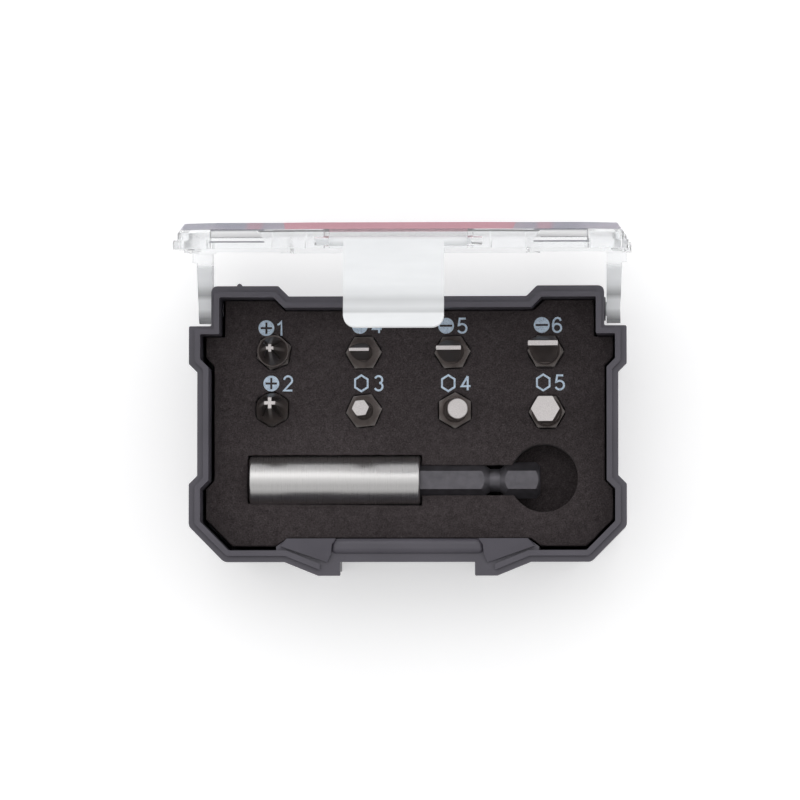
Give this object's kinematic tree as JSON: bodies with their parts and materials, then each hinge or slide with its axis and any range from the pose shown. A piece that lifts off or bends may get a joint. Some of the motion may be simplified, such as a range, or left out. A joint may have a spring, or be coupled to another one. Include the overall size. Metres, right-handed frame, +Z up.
{
  "type": "screwdriver bit set",
  "caption": "Pocket case with a clear hinged lid and latch, holding short hexagonal screwdriver bits upright in foam and a magnetic bit holder lying in its own pocket.",
  "frame": {"origin": "centre of the case's flat underside, midway across its width and its depth without the latch shoulders", "axes": "+X to the right along the case, +Y from the latch side to the hinge side, +Z up out of the case"},
  "size_m": [0.0898, 0.0708, 0.07],
  "materials": {
    "case_plastic": "satin",
    "clear_plastic": "clear polished",
    "foam": "fine closed cell foam",
    "printed_card": "printed outside, plain white inside",
    "sleeve_steel": "brushed round the axis",
    "dark_steel": "black oxide",
    "magnet_nickel": "nickel plate",
    "spring_steel": "drawn wire"
  },
  "bodies": {
    "case": {"case_base": "case_plastic", "foam_lower": "foam", "foam_upper": "foam"},
    "lid": {"lid": "clear_plastic", "label_card": "printed_card"},
    "latch": {"latch": "clear_plastic"},
    "holder": {"holder_sleeve": "sleeve_steel", "holder_shank": "dark_steel", "holder_magnet": "magnet_nickel", "holder_ring": "spring_steel"},
    "bit_phillips_1": {"bit_phillips_1": "dark_steel"},
    "bit_slotted_4": {"bit_slotted_4": "dark_steel"},
    "bit_slotted_5": {"bit_slotted_5": "dark_steel"},
    "bit_slotted_6": {"bit_slotted_6": "dark_steel"},
    "bit_phillips_2": {"bit_phillips_2": "dark_steel"},
    "bit_hex_3": {"bit_hex_3": "dark_steel"},
    "bit_hex_4": {"bit_hex_4": "dark_steel"},
    "bit_hex_5": {"bit_hex_5": "dark_steel"}
  },
  "joints": [
    {"name": "lid_hinge", "type": "hinge", "parent": "case", "child": "lid", "pos_m": [0, 0.0237, 0.0137], "axis": [-1, 0, 0], "range_deg": [-87, 33]},
    {"name": "latch_pivot", "type": "hinge", "parent": "lid", "child": "latch", "pos_m": [0, 0.03373, 0.06695], "axis": [-1, 0, 0], "range_deg": [-10, 100]},
    {"name": "holder_lift", "type": "slide", "parent": "case", "child": "holder", "axis": [0, 0, 1], "range_m": [0, 0.022]},
    {"name": "phillips_1_lift", "type": "slide", "parent": "case", "child": "bit_phillips_1", "axis": [-0.0401, 0.0349, 0.9986], "range_m": [0, 0.027]},
    {"name": "slotted_4_lift", "type": "slide", "parent": "case", "child": "bit_slotted_4", "axis": [-0.0593, 0.014, 0.9981], "range_m": [0, 0.027]},
    {"name": "slotted_5_lift", "type": "slide", "parent": "case", "child": "bit_slotted_5", "axis": [-0.0558, 0.0419, 0.9976], "range_m": [0, 0.027]},
    {"name": "slotted_6_lift", "type": "slide", "parent": "case", "child": "bit_slotted_6", "axis": [-0.0381, 0.1305, 0.9907], "range_m": [0, 0.027]},
    {"name": "phillips_2_lift", "type": "slide", "parent": "case", "child": "bit_phillips_2", "axis": [0, 0.0854, 0.9963], "range_m": [0, 0.027]},
    {"name": "hex_3_lift", "type": "slide", "parent": "case", "child": "bit_hex_3", "axis": [-0.0349, 0.0157, 0.9993], "range_m": [0, 0.027]},
    {"name": "hex_4_lift", "type": "slide", "parent": "case", "child": "bit_hex_4", "axis": [0.0941, -0.0122, 0.9955], "range_m": [0, 0.027]},
    {"name": "hex_5_lift", "type": "slide", "parent": "case", "child": "bit_hex_5", "axis": [-0.0157, 0.0279, 0.9995], "range_m": [0, 0.027]}
  ]
}
